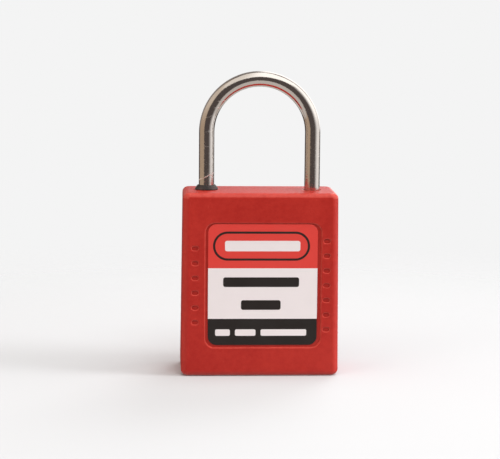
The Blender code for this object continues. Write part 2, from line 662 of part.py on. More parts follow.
def build_spindle(steel, mover):
    """Links the plug to the bolts: a tongue below, a crank disc with two pins above."""
    profile = [
        (0.0, SPINDLE_FOOT),
        (SPINDLE_RADIUS, SPINDLE_FOOT),
        (SPINDLE_RADIUS, CRANK_BOTTOM),
        (CRANK_RADIUS, CRANK_BOTTOM),
        (CRANK_RADIUS, CRANK_TOP),
        (0.0, CRANK_TOP),
    ]
    spindle = add_object("crank_spindle", turned(profile, ROUND), steel, (0, AXIS_Y, 0), parent=mover)
    wide = SPINDLE_RADIUS + PAST
    for side, name in ((1, "back"), (-1, "front")):
        flat = prism(
            rectangle((-wide, wide), (side * TONGUE_HALF_WIDTH, side * wide)), SPINDLE_FOOT - PAST, TONGUE_TOP
        )
        cut(spindle, f"cut_tongue_{name}", flat, (0, AXIS_Y, 0))
    for side, name in ((1, "toe"), (-1, "heel")):
        x = side * CRANK_THROW * math.cos(KEY_TURN / 2)
        y = AXIS_Y + side * CRANK_THROW * math.sin(KEY_TURN / 2)
        pin = prism(circle(CRANK_PIN_RADIUS, SMALL, (x, y)), CRANK_BOTTOM + GAP, CRANK_PIN_TOP)
        join(spindle, f"add_{name}_crank_pin", pin)


def toe_bolt_outline():
    """The toe bolt from above. Its body passes behind the axis, with a slot open towards it."""
    near = AXIS_Y + SLIDE_GAP
    slot_end = near + SLOT_DEPTH
    return [
        (BOLT_TAIL, near), (SLOT_NEAR, near), (SLOT_NEAR, slot_end), (SLOT_FAR, slot_end),
        (SLOT_FAR, near), (BOLT_SHOULDER, near), (BOLT_SHOULDER, -NOSE_HALF_WIDTH),
        (BOLT_NOSE, -NOSE_HALF_WIDTH), (BOLT_NOSE, NOSE_HALF_WIDTH), (BOLT_SHOULDER, NOSE_HALF_WIDTH),
        (BOLT_SHOULDER, BOLT_BACK), (BOLT_TAIL, BOLT_BACK),
    ]


def heel_bolt_outline():
    """The heel bolt from above. Its body passes in front of the axis and its head comes back to the leg."""
    near = AXIS_Y - SLIDE_GAP
    slot_end = near - SLOT_DEPTH
    head = BOLT_SHOULDER - 2.6 * MM
    head_back = NOSE_HALF_WIDTH + GAP
    outline = [
        (BOLT_TAIL, near), (SLOT_NEAR, near), (SLOT_NEAR, slot_end), (SLOT_FAR, slot_end),
        (SLOT_FAR, near), (head, near), (head, head_back), (BOLT_SHOULDER, head_back),
        (BOLT_SHOULDER, NOSE_HALF_WIDTH), (BOLT_NOSE, NOSE_HALF_WIDTH), (BOLT_NOSE, -NOSE_HALF_WIDTH),
        (BOLT_SHOULDER, -NOSE_HALF_WIDTH), (BOLT_SHOULDER, BOLT_FRONT), (BOLT_TAIL, BOLT_FRONT),
    ]
    return [(-x, y) for x, y in outline]


def build_bolt(side, name, outline, steel, mover):
    bolt = add_object(name, prism(outline, BOLT_BOTTOM, BOLT_TOP), steel, parent=mover)
    below = BOLT_BOTTOM - PAST
    bevel = [
        (BOLT_NOSE - BOLT_BEVEL, BOLT_BOTTOM), (BOLT_NOSE, BOLT_BOTTOM + BOLT_BEVEL),
        (BOLT_NOSE + PAST, BOLT_BOTTOM + BOLT_BEVEL), (BOLT_NOSE + PAST, below),
        (BOLT_NOSE - BOLT_BEVEL, below),
    ]
    half = NOSE_HALF_WIDTH + PAST
    tool = prism([(side * x, z) for x, z in bevel], -half, half)
    cut(bolt, f"cut_{name}_bevel", tool, rotation=POINT_FRONT)


# ---- assembly ------------------------------------------------------------------------------------
def clear_scene():
    for existing in list(bpy.data.objects):
        bpy.data.objects.remove(existing)


def main():
    clear_scene()
    red_abs = make_material("red_abs", (0.55, 0.035, 0.022), 0.5)
    label_vinyl = make_material("label_vinyl", (0.80, 0.76, 0.76), 0.4)
    black_rubber = make_material("black_rubber", (0.015, 0.014, 0.014), 0.7)
    black_nylon = make_material("black_nylon", (0.02, 0.02, 0.02), 0.6)
    polished_steel = make_material("polished_steel", (0.62, 0.59, 0.56), 0.15, 1.0)
    turned_steel = make_material("turned_steel", (0.5, 0.5, 0.5), 0.35, 1.0)
    spring_steel = make_material("spring_steel", (0.42, 0.42, 0.43), 0.3, 1.0)
    turned_brass = make_material("turned_brass", (0.78, 0.57, 0.26), 0.3, 1.0)
    cast_zinc = make_material("cast_zinc", (0.55, 0.55, 0.57), 0.4, 1.0)

    shackle_mover = add_empty("shackle_axis", (-LEG_X, 0, 0))
    plug_mover = add_empty("plug_axis", (0, AXIS_Y, 0))
    toe_mover = add_empty("toe_bolt_axis", (LEG_X, 0, BOLT_BOTTOM))
    heel_mover = add_empty("heel_bolt_axis", (-LEG_X, 0, BOLT_BOTTOM))

    build_case(red_abs)
    build_cap(red_abs)
    build_cap_fixings(turned_brass, turned_steel)
    build_label(label_vinyl)
    build_seal(black_rubber)
    build_shackle(polished_steel, spring_steel, shackle_mover)
    seat = SPRING_SEAT + REST_GAP
    length = HEEL_CLIP_BOTTOM - REST_GAP - seat
    add_spring("shackle_spring", (2.35 * MM, 0.3 * MM), length, 8, 14, spring_steel, (-LEG_X, 0, seat))
    build_housing(cast_zinc)
    build_plug(turned_brass, spring_steel, plug_mover)
    build_pin_stacks(turned_brass, turned_steel, spring_steel, plug_mover)
    build_sleeve(black_nylon)
    build_carrier(black_nylon)
    build_spindle(turned_steel, plug_mover)
    build_bolt(1, "toe_bolt", toe_bolt_outline(), turned_steel, toe_mover)
    build_bolt(-1, "heel_bolt", heel_bolt_outline(), turned_steel, heel_mover)


main()
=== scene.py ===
"""The looks of the safety padlock: a moulded red ABS case, a polished steel shackle and a printed label."""

import math

import bmesh
import bpy
from mathutils import Matrix, Vector


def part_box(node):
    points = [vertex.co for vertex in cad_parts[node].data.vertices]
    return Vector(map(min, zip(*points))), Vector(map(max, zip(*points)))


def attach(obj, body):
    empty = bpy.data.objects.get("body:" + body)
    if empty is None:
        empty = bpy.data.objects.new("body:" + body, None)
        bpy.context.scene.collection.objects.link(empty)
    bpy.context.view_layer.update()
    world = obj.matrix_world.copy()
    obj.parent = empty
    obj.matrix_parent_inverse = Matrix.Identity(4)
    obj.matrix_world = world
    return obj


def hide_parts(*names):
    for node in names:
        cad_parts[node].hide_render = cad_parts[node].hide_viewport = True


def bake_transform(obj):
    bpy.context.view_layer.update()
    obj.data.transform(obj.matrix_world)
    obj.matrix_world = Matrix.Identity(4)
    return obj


MM = 0.001

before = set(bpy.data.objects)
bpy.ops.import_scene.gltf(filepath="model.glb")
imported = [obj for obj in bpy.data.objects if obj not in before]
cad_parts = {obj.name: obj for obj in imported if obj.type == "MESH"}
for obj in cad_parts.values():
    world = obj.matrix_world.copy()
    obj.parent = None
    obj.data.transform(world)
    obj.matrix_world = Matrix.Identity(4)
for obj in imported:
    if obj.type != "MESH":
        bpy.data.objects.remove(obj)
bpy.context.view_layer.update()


# ---- sizes, in metres ----------------------------------------------------------------------------
CASE_LOW, CASE_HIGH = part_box("body_case")
CASE_HEIGHT = CASE_HIGH.z
CASE_DEPTH = CASE_HIGH.y - CASE_LOW.y
CASE_WIDTH_FOOT = CASE_HIGH.x - CASE_LOW.x
CASE_WIDTH_TOP = CASE_WIDTH_FOOT - 1.0 * MM
CASE_CORNER = 1.8 * MM
CASE_TOP_EDGE = 1.4 * MM
CASE_FOOT_EDGE = 1.5 * MM

CORE_LOW, CORE_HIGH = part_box("mechanism_carrier")
CAP_LOW, CAP_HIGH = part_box("bottom_cap")
CAP_THICKNESS = 2.9 * MM
FIT_GAP = 0.1 * MM
SLIDE_GAP = 0.2 * MM
BORE_GAP = 0.3 * MM

SHACKLE_LOW, SHACKLE_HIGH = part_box("shackle")
BAR_RADIUS = (SHACKLE_HIGH.y - SHACKLE_LOW.y) / 2
LEG_X = SHACKLE_HIGH.x - BAR_RADIUS
BOW_CENTRE = SHACKLE_HIGH.z - BAR_RADIUS - LEG_X
TOE_END = 38.5 * MM
HEEL_END = SHACKLE_LOW.z
BOLT_LOW, BOLT_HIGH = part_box("toe_bolt")
NOTCH_START = 39.3 * MM

LABEL_LOW, LABEL_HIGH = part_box("label")
LABEL_CORNER = 2.2 * MM
RECESS_DEPTH = 0.45 * MM
RECESS_RIM = 0.30 * MM

# How far a cutter reaches past the face that it cuts.
PAST = 1.0 * MM
SHARP_ANGLE = math.radians(32)


# ---- meshes --------------------------------------------------------------------------------------
def rounded_rectangle(width, depth, corner, centre=(0.0, 0.0), arc_steps=10):
    """Points of a rectangle with round corners in the XY plane, counter-clockwise."""
    points = []
    for quarter, (sx, sy) in enumerate(((1, 1), (-1, 1), (-1, -1), (1, -1))):
        cx = centre[0] + sx * (width / 2 - corner)
        cy = centre[1] + sy * (depth / 2 - corner)
        for i in range(arc_steps + 1):
            angle = (quarter + i / arc_steps) * math.pi / 2
            points.append((cx + corner * math.cos(angle), cy + corner * math.sin(angle)))
    return points


def rectangle(x_ends, y_ends):
    (left, right), (near, far) = sorted(x_ends), sorted(y_ends)
    return [(left, near), (right, near), (right, far), (left, far)]


def loft(rings):
    """A closed body through rings of equally many points."""
    bm = bmesh.new()
    rows = [[bm.verts.new(point) for point in ring] for ring in rings]
    count = len(rings[0])
    for lower, upper in zip(rows, rows[1:]):
        for i in range(count):
            j = (i + 1) % count
            bm.faces.new((lower[i], lower[j], upper[j], upper[i]))
    bm.faces.new(list(reversed(rows[0])))
    bm.faces.new(rows[-1])
    bmesh.ops.recalc_face_normals(bm, faces=bm.faces)
    return bm


def prism(outline, bottom, top):
    return loft([[(x, y, z) for x, y in outline] for z in (bottom, top)])


def turned(profile, steps, centre=(0.0, 0.0)):
    """A body turned about the vertical through centre, from (radius, height) points.

    The profile either starts and ends on the axis, or closes on itself as a ring does.
    """
    bm = bmesh.new()
    verts = [bm.verts.new((radius, 0.0, height)) for radius, height in profile]
    edges = [bm.edges.new(pair) for pair in zip(verts, verts[1:])]
    if profile[0][0] > 0.0:
        edges.append(bm.edges.new((verts[-1], verts[0])))
    full_turn = 2 * math.pi
    bmesh.ops.spin(
        bm, geom=verts + edges, cent=(0, 0, 0), axis=(0, 0, 1), angle=full_turn, steps=steps, use_merge=True
    )
    bmesh.ops.remove_doubles(bm, verts=bm.verts, dist=1e-7)
    bmesh.ops.recalc_face_normals(bm, faces=bm.faces)
    bmesh.ops.translate(bm, verts=bm.verts, vec=(*centre, 0.0))
    return bm


def quarter_round(radius, steps=6):
    """(along, across) pairs from (0, radius) to (radius, 0) on a convex quarter circle."""
    angles = [i / steps * math.pi / 2 for i in range(steps + 1)]
    return [(radius - radius * math.cos(a), radius - radius * math.sin(a)) for a in angles]


def add_piece(name, bm, materials=(), shade=True):
    """Makes an object of a mesh and puts it in the scene."""
    mesh = bpy.data.meshes.new(name)
    bm.to_mesh(mesh)
    bm.free()
    if shade:
        mesh.shade_smooth()
        mesh.set_sharp_from_angle(angle=SHARP_ANGLE)
    piece = bpy.data.objects.new(name, mesh)
    bpy.context.scene.collection.objects.link(piece)
    for material in materials:
        mesh.materials.append(material)
    return piece


def carve(piece, cutters):
    """Cuts each mesh from the piece, and keeps the flat faces flat where they meet small roundings."""
    tools = [add_piece(f"{piece.name}_tool_{i}", bm, shade=False) for i, bm in enumerate(cutters)]
    for tool in tools:
        modifier = piece.modifiers.new(tool.name, "BOOLEAN")
        modifier.operation = "DIFFERENCE"
        modifier.object = tool
    bpy.context.view_layer.update()
    evaluated = piece.evaluated_get(bpy.context.evaluated_depsgraph_get())
    carved = bpy.data.meshes.new_from_object(evaluated)
    piece.modifiers.clear()
    piece.data = carved
    for tool in tools:
        bpy.data.objects.remove(tool)
    carved.shade_smooth()
    carved.set_sharp_from_angle(angle=SHARP_ANGLE)
    keep_flats_flat(piece)


def keep_flats_flat(piece):
    modifier = piece.modifiers.new("flat_faces", "WEIGHTED_NORMAL")
    modifier.keep_sharp = True
    modifier.weight = 80


# ---- materials -----------------------------------------------------------------------------------
def linear(hex_colour):
    """An sRGB hex colour as linear RGBA."""
    channels = [int(hex_colour[i : i + 2], 16) / 255 for i in (1, 3, 5)]
    return (*[c / 12.92 if c <= 0.04045 else ((c + 0.055) / 1.055) ** 2.4 for c in channels], 1.0)


def repeats(size_mm):
    """A texture scale in metres for a pattern that repeats every size_mm millimetres."""
    return 1000.0 / size_mm


def add_node(tree, kind, settings=None, inputs=None):
    """Adds a node. Settings are its own options; each input is a value, or the socket that feeds it."""
    made = tree.nodes.new(kind)
    for name, value in (settings or {}).items():
        setattr(made, name, value)
    for name, value in (inputs or {}).items():
        if isinstance(value, bpy.types.NodeSocket):
            tree.links.new(value, made.inputs[name])
        else:
            made.inputs[name].default_value = value
    return made


def start_material(name, **shader_values):
    """A Principled material with its constants set, and the piece's own coordinates in metres."""
    material = bpy.data.materials.new(name)
    material.use_nodes = True
    tree = material.node_tree
    shader = tree.nodes["Principled BSDF"]
    for socket, value in shader_values.items():
        shader.inputs[socket.replace("_", " ")].default_value = value
    place = add_node(tree, "ShaderNodeTexCoord").outputs["Object"]
    return material, tree, shader, place


def make_moulded_abs():
    """Moulded ABS: a satin red with a broad soft sheen, a fine spark-eroded grain and a few pale scuffs.

    The mould's real grain is about 0.1 mm across. It is drawn at 0.45 mm, because it would be too fine to show.
    Its tone drifts slowly, as the melt flowed. Its rounded edges are painted paler and smoother: partly rubbed by
    handling, partly a painted highlight along them.
    """
    material, tree, shader, place = start_material("moulded_red_abs", IOR=1.53, Specular_IOR_Level=0.37)
    grain = add_node(tree, "ShaderNodeTexNoise", {}, {
        "Vector": place, "Scale": repeats(0.45), "Detail": 2.0, "Roughness": 0.6,
    })
    flow = add_node(tree, "ShaderNodeTexNoise", {}, {
        "Vector": place, "Scale": repeats(14.0), "Detail": 3.0, "Roughness": 0.55,
    })
    mottle = add_node(tree, "ShaderNodeTexNoise", {}, {
        "Vector": place, "Scale": repeats(1.3), "Detail": 3.0, "Roughness": 0.75,
    })
    tone = add_node(tree, "ShaderNodeMath", {"operation": "MULTIPLY_ADD"}, {
        0: mottle.outputs["Fac"], 1: 0.8, 2: flow.outputs["Fac"],
    })
    share = add_node(tree, "ShaderNodeMapRange", {}, {
        "Value": tone.outputs[0], "From Min": 0.68, "From Max": 1.12,
    })
    body = add_node(tree, "ShaderNodeMix", {"data_type": "RGBA"}, {
        0: share.outputs[0], 6: linear("#A61A10"), 7: linear("#B4271C"),
    })
    stretched = add_node(tree, "ShaderNodeMapping", {}, {
        "Vector": place, "Rotation": (0.3, 0.5, 0.7), "Scale": (1.0, 1.0, 0.18),
    })
    scuff = add_node(tree, "ShaderNodeTexNoise", {}, {
        "Vector": stretched.outputs[0], "Scale": repeats(0.9), "Detail": 3.0, "Roughness": 0.6,
    })
    scuffed = add_node(tree, "ShaderNodeMapRange", {}, {
        "Value": scuff.outputs["Fac"], "From Min": 0.70, "From Max": 0.80, "To Max": 0.5,
    })
    # Rounded edges are painted paler and glossier: partly handling wear, partly a painted highlight.
    wear_and_highlight_amount = add_node(tree, "ShaderNodeAttribute", {"attribute_name": "edge_wear_and_highlight"})
    patchy = add_node(tree, "ShaderNodeMapRange", {}, {
        "Value": mottle.outputs["Fac"], "From Min": 0.25, "From Max": 0.6, "To Min": 0.35, "To Max": 0.8,
    })
    edge = add_node(tree, "ShaderNodeMath", {"operation": "MULTIPLY"}, {
        0: wear_and_highlight_amount.outputs["Fac"], 1: patchy.outputs[0],
    })
    pale = add_node(tree, "ShaderNodeMath", {"operation": "MAXIMUM"}, {
        0: scuffed.outputs[0], 1: edge.outputs[0],
    })
    colour = add_node(tree, "ShaderNodeMix", {"data_type": "RGBA"}, {
        0: pale.outputs[0], 6: body.outputs[2], 7: linear("#DB5C4E"),
    })
    grained = add_node(tree, "ShaderNodeMapRange", {}, {
        "Value": grain.outputs["Fac"], "From Min": 0.3, "From Max": 0.7, "To Min": 0.40, "To Max": 0.54,
    })
    roughness = add_node(tree, "ShaderNodeMath", {"operation": "MULTIPLY_ADD"}, {
        0: edge.outputs[0], 1: -0.15, 2: grained.outputs[0],
    })
    bump = add_node(tree, "ShaderNodeBump", {}, {
        "Height": grain.outputs["Fac"], "Strength": 0.8, "Distance": 0.05 * MM,
    })
    tree.links.new(colour.outputs[2], shader.inputs["Base Color"])
    tree.links.new(roughness.outputs[0], shader.inputs["Roughness"])
    tree.links.new(bump.outputs[0], shader.inputs["Normal"])
    return material


def make_printed_vinyl(name, ink):
    """Vinyl film screen-printed in one solid ink: an even colour, smooth and slightly glossy.

    The film's real pebble is about 0.1 mm across. It is drawn at 0.9 mm, because it would be too fine to show.
    Handling leaves slow patches in the gloss.
    """
    material, tree, shader, place = start_material(name, IOR=1.5, Specular_IOR_Level=0.5)
    film = add_node(tree, "ShaderNodeTexNoise", {}, {
        "Vector": place, "Scale": repeats(0.9), "Detail": 2.0, "Roughness": 0.5,
    })
    handled = add_node(tree, "ShaderNodeTexNoise", {}, {
        "Vector": place, "Scale": repeats(7.0), "Detail": 3.0, "Roughness": 0.6,
    })
    full = linear(ink)
    thin = tuple(0.94 * c + 0.004 for c in full[:3]) + (1.0,)
    colour = add_node(tree, "ShaderNodeMix", {"data_type": "RGBA"}, {
        0: handled.outputs["Fac"], 6: full, 7: thin,
    })
    roughness = add_node(tree, "ShaderNodeMapRange", {}, {
        "Value": handled.outputs["Fac"], "From Min": 0.3, "From Max": 0.7, "To Min": 0.30, "To Max": 0.42,
    })
    bump = add_node(tree, "ShaderNodeBump", {}, {
        "Height": film.outputs["Fac"], "Strength": 0.15, "Distance": 0.02 * MM,
    })
    tree.links.new(colour.outputs[2], shader.inputs["Base Color"])
    tree.links.new(roughness.outputs[0], shader.inputs["Roughness"])
    tree.links.new(bump.outputs[0], shader.inputs["Normal"])
    return material


def scratch_mask(tree, place, height, slope, half_width, ends, strength):
    """One ragged scratch across the front of the heel leg, by the height where it crosses the leg's axis."""
    wander = add_node(tree, "ShaderNodeTexNoise", {}, {
        "Vector": place, "Scale": repeats(1.2), "Detail": 4.0, "Roughness": 0.7,
    })
    axes = add_node(tree, "ShaderNodeSeparateXYZ", {}, {0: place})
    ragged = add_node(tree, "ShaderNodeMath", {"operation": "MULTIPLY_ADD"}, {
        0: wander.outputs["Fac"], 1: 0.9 * MM, 2: axes.outputs["Z"],
    })
    level = add_node(tree, "ShaderNodeMath", {"operation": "MULTIPLY_ADD"}, {
        0: axes.outputs["X"], 1: -slope, 2: ragged.outputs[0],
    })
    line = height + 0.45 * MM + slope * LEG_X
    on_line = add_node(tree, "ShaderNodeMath", {"operation": "COMPARE"}, {
        0: level.outputs[0], 1: line, 2: half_width,
    })
    between_ends = add_node(tree, "ShaderNodeMath", {"operation": "COMPARE"}, {
        0: axes.outputs["X"], 1: sum(ends) / 2, 2: (ends[1] - ends[0]) / 2,
    })
    in_front = add_node(tree, "ShaderNodeMath", {"operation": "LESS_THAN"}, {0: axes.outputs["Y"], 1: 0.0})
    mask = on_line.outputs[0]
    for share in (between_ends.outputs[0], in_front.outputs[0], strength):
        mask = add_node(tree, "ShaderNodeMath", {"operation": "MULTIPLY"}, {0: mask, 1: share}).outputs[0]
    return mask


def make_polished_steel():
    """Drawn and polished stainless bar: near mirror, so it shows the room in bands, broken by specks and nicks.

    The polishing marks are really about 0.02 mm wide. They are drawn at 0.35 mm, because they would be too
    fine to show. The heel leg also has one long scratch and three faint ones.
    """
    material, tree, shader, place = start_material("polished_stainless_steel", Metallic=1.0)
    speck = add_node(tree, "ShaderNodeTexNoise", {}, {
        "Vector": place, "Scale": repeats(0.35), "Detail": 2.0, "Roughness": 0.7,
    })
    smear = add_node(tree, "ShaderNodeTexNoise", {}, {
        "Vector": place, "Scale": repeats(5.0), "Detail": 3.0, "Roughness": 0.6,
    })
    slanted = add_node(tree, "ShaderNodeMapping", {}, {
        "Vector": place, "Rotation": (0.0, 0.65, 0.0), "Scale": (0.12, 0.12, 1.0),
    })
    nick = add_node(tree, "ShaderNodeTexNoise", {}, {
        "Vector": slanted.outputs[0], "Scale": repeats(1.1), "Detail": 1.0, "Roughness": 0.5,
    })
    nicked = add_node(tree, "ShaderNodeMapRange", {}, {
        "Value": nick.outputs["Fac"], "From Min": 0.72, "From Max": 0.76,
    })
    # Sliding in and out of the case has scuffed the lower half of both legs.
    axes = add_node(tree, "ShaderNodeSeparateXYZ", {}, {0: place})
    slid = add_node(tree, "ShaderNodeMapRange", {}, {
        "Value": axes.outputs["Z"], "From Min": 66.0 * MM, "From Max": 57.0 * MM, "To Min": 0.3, "To Max": 0.75,
    })
    sparkle = add_node(tree, "ShaderNodeMapRange", {}, {
        "Value": speck.outputs["Fac"], "From Min": 0.55, "From Max": 0.70, "To Max": 0.42,
    })
    scuffed = add_node(tree, "ShaderNodeMath", {"operation": "MULTIPLY"}, {
        0: sparkle.outputs[0], 1: slid.outputs[0],
    })
    marks = add_node(tree, "ShaderNodeMath", {"operation": "MAXIMUM"}, {
        0: nicked.outputs[0], 1: scuffed.outputs[0],
    }).outputs[0]
    # Each scratch is (height, slope, half width, its ends across, strength).
    scratches = (
        (51.0 * MM, 0.46, 0.15 * MM, (-16.3 * MM, -12.0 * MM), 1.0),
        (58.9 * MM, -0.1, 0.06 * MM, (-14.6 * MM, -13.4 * MM), 0.4),
        (62.6 * MM, 0.25, 0.07 * MM, (-14.2 * MM, -12.9 * MM), 0.4),
        (66.2 * MM, 0.45, 0.09 * MM, (-14.7 * MM, -12.6 * MM), 0.45),
    )
    for scratch in scratches:
        marks = add_node(tree, "ShaderNodeMath", {"operation": "MAXIMUM"}, {
            0: marks, 1: scratch_mask(tree, place, *scratch),
        }).outputs[0]
    worn = add_node(tree, "ShaderNodeMix", {"data_type": "RGBA"}, {
        0: smear.outputs["Fac"], 6: linear("#D2CCC6"), 7: linear("#C4BEBA"),
    })
    tint = add_node(tree, "ShaderNodeMix", {"data_type": "RGBA"}, {
        0: marks, 6: worn.outputs[2], 7: linear("#EDE8E4"),
    })
    smooth = add_node(tree, "ShaderNodeMapRange", {}, {
        "Value": speck.outputs["Fac"], "From Min": 0.35, "From Max": 0.75, "To Min": 0.07, "To Max": 0.17,
    })
    roughness = add_node(tree, "ShaderNodeMath", {"operation": "MULTIPLY_ADD", "use_clamp": True}, {
        0: marks, 1: 0.45, 2: smooth.outputs[0],
    })
    pits = add_node(tree, "ShaderNodeBump", {}, {
        "Height": speck.outputs["Fac"], "Strength": slid.outputs[0], "Distance": 0.02 * MM,
    })
    bump = add_node(tree, "ShaderNodeBump", {}, {
        "Height": marks, "Strength": 0.5, "Distance": 0.03 * MM, "Normal": pits.outputs[0],
    })
    tree.links.new(tint.outputs[2], shader.inputs["Base Color"])
    tree.links.new(roughness.outputs[0], shader.inputs["Roughness"])
    tree.links.new(bump.outputs[0], shader.inputs["Normal"])
    return material


def make_metal(name, pale, dark, rough, streak_mm, streak_scale, centre=(0.0, 0.0, 0.0)):
    """A machined, cast or drawn metal: a plain sheen, streaked or mottled by how it was made.

    The real marks are 0.02 to 0.1 mm wide. streak_mm is coarser, because they would be too fine to show.
    streak_scale stretches the pattern: a small number along an axis draws it out that way.
    """
    material, tree, shader, place = start_material(name, Metallic=1.0)
    centred = add_node(tree, "ShaderNodeMapping", {}, {
        "Vector": place, "Location": tuple(-c for c in centre), "Scale": streak_scale,
    })
    streak = add_node(tree, "ShaderNodeTexNoise", {}, {
        "Vector": centred.outputs[0], "Scale": repeats(streak_mm), "Detail": 3.0, "Roughness": 0.6,
    })
    tarnish = add_node(tree, "ShaderNodeTexNoise", {}, {
        "Vector": place, "Scale": repeats(3.0), "Detail": 3.0, "Roughness": 0.6,
    })
    mixed = add_node(tree, "ShaderNodeMath", {"operation": "MULTIPLY"}, {
        0: streak.outputs["Fac"], 1: tarnish.outputs["Fac"],
    })
    share = add_node(tree, "ShaderNodeMapRange", {}, {
        "Value": mixed.outputs[0], "From Min": 0.12, "From Max": 0.4,
    })
    colour = add_node(tree, "ShaderNodeMix", {"data_type": "RGBA"}, {
        0: share.outputs[0], 6: linear(dark), 7: linear(pale),
    })
    roughness = add_node(tree, "ShaderNodeMapRange", {}, {
        "Value": streak.outputs["Fac"], "From Min": 0.3, "From Max": 0.7,
        "To Min": rough - 0.07, "To Max": rough + 0.07,
    })
    bump = add_node(tree, "ShaderNodeBump", {}, {
        "Height": streak.outputs["Fac"], "Strength": 0.25, "Distance": 0.02 * MM,
    })
    tree.links.new(colour.outputs[2], shader.inputs["Base Color"])
    tree.links.new(roughness.outputs[0], shader.inputs["Roughness"])
    tree.links.new(bump.outputs[0], shader.inputs["Normal"])
    return material


def make_dark_polymer(name, pale, dark, rough, grain_mm):
    """A black moulded polymer: rubber looks matt and dusty, glass-filled nylon a little harder and glossier.

    The real grain is about 0.05 mm across. grain_mm is coarser, because it would be too fine to show.
    """
    material, tree, shader, place = start_material(name, IOR=1.5, Specular_IOR_Level=0.4)
    grain = add_node(tree, "ShaderNodeTexNoise", {}, {
        "Vector": place, "Scale": repeats(grain_mm), "Detail": 3.0, "Roughness": 0.65,
    })
    dust = add_node(tree, "ShaderNodeTexNoise", {}, {
        "Vector": place, "Scale": repeats(2.2), "Detail": 3.0, "Roughness": 0.65,
    })
    share = add_node(tree, "ShaderNodeMapRange", {}, {
        "Value": dust.outputs["Fac"], "From Min": 0.35, "From Max": 0.75,
    })
    colour = add_node(tree, "ShaderNodeMix", {"data_type": "RGBA"}, {
        0: share.outputs[0], 6: linear(dark), 7: linear(pale),
    })
    roughness = add_node(tree, "ShaderNodeMapRange", {}, {
        "Value": grain.outputs["Fac"], "From Min": 0.3, "From Max": 0.7,
        "To Min": rough - 0.08, "To Max": rough + 0.08,
    })
    bump = add_node(tree, "ShaderNodeBump", {}, {
        "Height": grain.outputs["Fac"], "Strength": 0.4, "Distance": 0.03 * MM,
    })
    tree.links.new(colour.outputs[2], shader.inputs["Base Color"])
    tree.links.new(roughness.outputs[0], shader.inputs["Roughness"])
    tree.links.new(bump.outputs[0], shader.inputs["Normal"])
    return material


# ---- case ----------------------------------------------------------------------------------------
def case_ring(height, inset):
    """The case's outline at a height, drawn in where an edge is rounded. The case is drafted from foot to top."""
    share = max(height - CASE_FOOT_EDGE, 0.0) / (CASE_HEIGHT - CASE_FOOT_EDGE)
    width = CASE_WIDTH_FOOT + (CASE_WIDTH_TOP - CASE_WIDTH_FOOT) * share
    corner = CASE_CORNER - inset * 0.6
    outline = rounded_rectangle(width - 2 * inset, CASE_DEPTH - 2 * inset, corner)
    return [(x, y, height) for x, y in outline]


def case_block():
    """The drafted block with its foot and top edges rounded."""
    foot = [case_ring(from_end, inset) for inset, from_end in quarter_round(CASE_FOOT_EDGE)][::-1]
    top = [case_ring(CASE_HEIGHT - from_end, inset) for inset, from_end in quarter_round(CASE_TOP_EDGE)]
    return loft(foot + top)


def recess_cutter(side):
    """The label recess on the front (side -1) or its twin on the back (side 1), with a rounded rim."""
    left, right, foot, head = 0.7 * MM, 0.95 * MM, 0.65 * MM, 0.15 * MM
    x_low, x_high = LABEL_LOW.x - left, LABEL_HIGH.x + right
    z_low, z_high = LABEL_LOW.z - foot, LABEL_HIGH.z + head
    centre = ((x_low + x_high) / 2, (z_low + z_high) / 2)
    face = side * CASE_DEPTH / 2
    corner = LABEL_CORNER + head
    floor_round = 0.12 * MM
    levels = [(-floor_round, RECESS_DEPTH), (-0.3 * floor_round, RECESS_DEPTH - 0.3 * floor_round)]
    levels += [(0.0, RECESS_DEPTH - floor_round)] + quarter_round(RECESS_RIM)
    levels.append((RECESS_RIM, -PAST))
    rings = []
    for grow, depth in levels:
        outline = rounded_rectangle(x_high - x_low + 2 * grow, z_high - z_low + 2 * grow, corner + grow, centre)
        rings.append([(x, face - side * depth, z) for x, z in outline])
    return loft(rings)


def side_dashes():
    """Two columns of plain debossed dashes, one on each side of the label."""
    depth, rim = 0.34 * MM, 0.30 * MM
    dash_width, dash_height = 1.7 * MM, 1.0 * MM
    face = -CASE_DEPTH / 2
    # Each column is (its place across, its first dash's height, pitch, number of dashes).
    columns = (
        (-16.8 * MM, 33.3 * MM, 3.84 * MM, 6),
        (17.0 * MM, 35.2 * MM, 3.83 * MM, 7),
    )
    for x, first, pitch, count in columns:
        for i in range(count):
            rings = []
            for grow, below in [(0.0, depth), *quarter_round(rim, 5), (rim, -PAST)]:
                width, height = dash_width + 2 * grow, dash_height + 2 * grow
                outline = rounded_rectangle(width, height, height / 2 - 0.01 * MM, (x, first - i * pitch), 4)
                rings.append([(px, face + below, pz) for px, pz in outline])
            yield loft(rings)


def leg_bore(x, steps, mouth, flare):
    """A stepped bore from the cap's pocket up through the top face, with a rounded mouth.

    Each step is (radius, the height that it reaches).
    """
    walls, floor = [(0.0, CAP_THICKNESS - PAST)], CAP_THICKNESS - PAST
    for radius, reach in steps:
        walls += [(radius, floor), (radius, reach)]
        floor = reach
    walls += [(mouth, floor)] if mouth > radius else []
    walls += [(mouth + out, CASE_HEIGHT - down) for out, down in quarter_round(flare, 4)]
    walls += [(mouth + flare, CASE_HEIGHT + PAST), (0.0, CASE_HEIGHT + PAST)]
    return turned(walls, 64, (x, 0.0))


